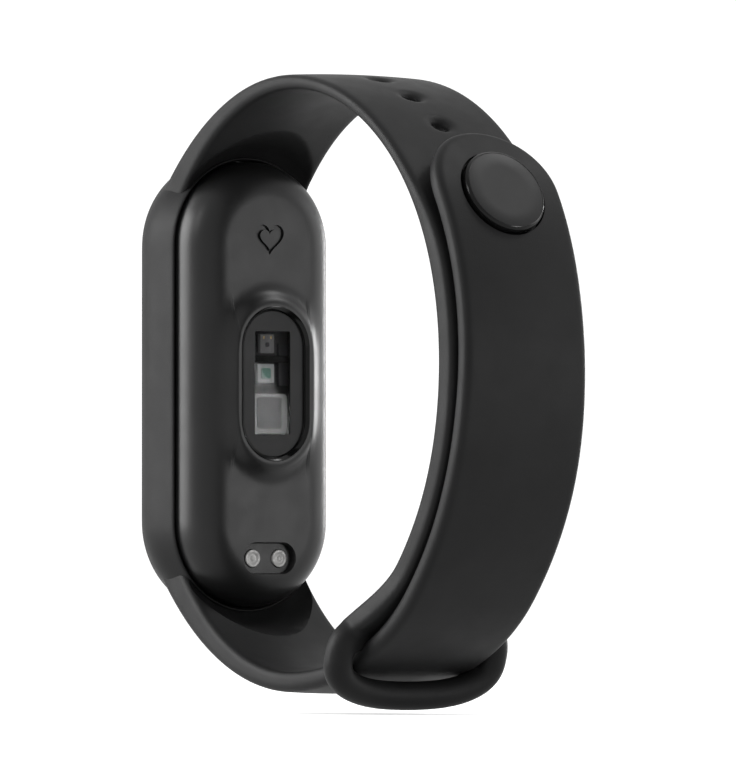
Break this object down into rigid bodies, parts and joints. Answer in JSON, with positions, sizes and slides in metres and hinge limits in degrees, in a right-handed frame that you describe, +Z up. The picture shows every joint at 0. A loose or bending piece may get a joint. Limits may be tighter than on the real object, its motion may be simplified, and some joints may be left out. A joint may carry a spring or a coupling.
{
  "type": "fitness tracker band",
  "caption": "Soft wrist strap closed by a stud clasp and a keeper loop, holding a removable pill-shaped tracker with an optical sensor and charging contacts on its back.",
  "frame": {"origin": "middle of the wrist opening, halfway across the strap", "axes": "+X from the tracker to the clasp, +Y along the wrist, +Z up along the tracker's length"},
  "size_m": [0.0573, 0.0222, 0.0658],
  "materials": {
    "elastomer": "soft matte, very fine grain",
    "clasp_cap": "satin",
    "steel": "satin",
    "housing": "fine matte",
    "front_glass": "polished, backed black",
    "adhesive_foam": "matte",
    "display": "gloss black",
    "flex_circuit": "satin amber film",
    "frame_plastic": "matte",
    "battery_foil": "satin foil",
    "circuit_board": "satin solder mask",
    "chip": "moulded epoxy",
    "led": "clear green lens",
    "sensor_window": "smoked, polished",
    "contact_plating": "brushed plating"
  },
  "bodies": {
    "band": {"pod_frame": "elastomer", "hole_arm": "elastomer", "keeper_loop": "elastomer", "button_arm_root": "elastomer", "button_arm": "elastomer"},
    "clasp_end": {"button_arm_tip": "elastomer"},
    "button": {"button_cap": "clasp_cap", "button_post": "steel"},
    "tracker": {"back_housing": "housing", "front_glass": "front_glass", "glass_gasket": "adhesive_foam", "display_module": "display", "touch_sensor": "flex_circuit", "display_flex": "flex_circuit", "inner_frame": "frame_plastic", "battery": "battery_foil", "battery_pad": "adhesive_foam", "main_board": "circuit_board", "shield_can": "steel", "processor_chip": "chip", "motion_chip": "chip", "antenna": "flex_circuit", "motor_case": "steel", "sensor_window": "sensor_window", "window_mask": "display", "sensor_board": "circuit_board", "infrared_led": "chip", "green_led": "led", "photodiode": "chip", "light_baffle": "frame_plastic", "sensor_flex": "flex_circuit", "charge_contact_near": "contact_plating", "contact_spring_near": "contact_plating", "charge_magnet_near": "steel", "charge_contact_far": "contact_plating", "contact_spring_far": "contact_plating", "charge_magnet_far": "steel"},
    "motor_rotor": {"motor_shaft": "steel", "motor_weight": "steel"}
  },
  "joints": [
    {"name": "clasp_peel", "type": "hinge", "parent": "band", "child": "clasp_end", "pos_m": [0.03162, 0, 0.00122], "axis": [0, 1, 0], "range_deg": [0, 60], "stiffness_Nm_per_rad": 0.02},
    {"name": "button_spin", "type": "hinge", "parent": "clasp_end", "child": "button", "pos_m": [0.0229, 0, 0.01614], "axis": [0.8714, 0, 0.4905], "continuous": true},
    {"name": "tracker_slide", "type": "slide", "parent": "band", "child": "tracker", "axis": [-1, 0, 0], "range_m": [0, 0.014]},
    {"name": "motor_spin", "type": "hinge", "parent": "tracker", "child": "motor_rotor", "pos_m": [-0.0207, 0, 0.0104], "axis": [0, 1, 0], "continuous": true}
  ]
}
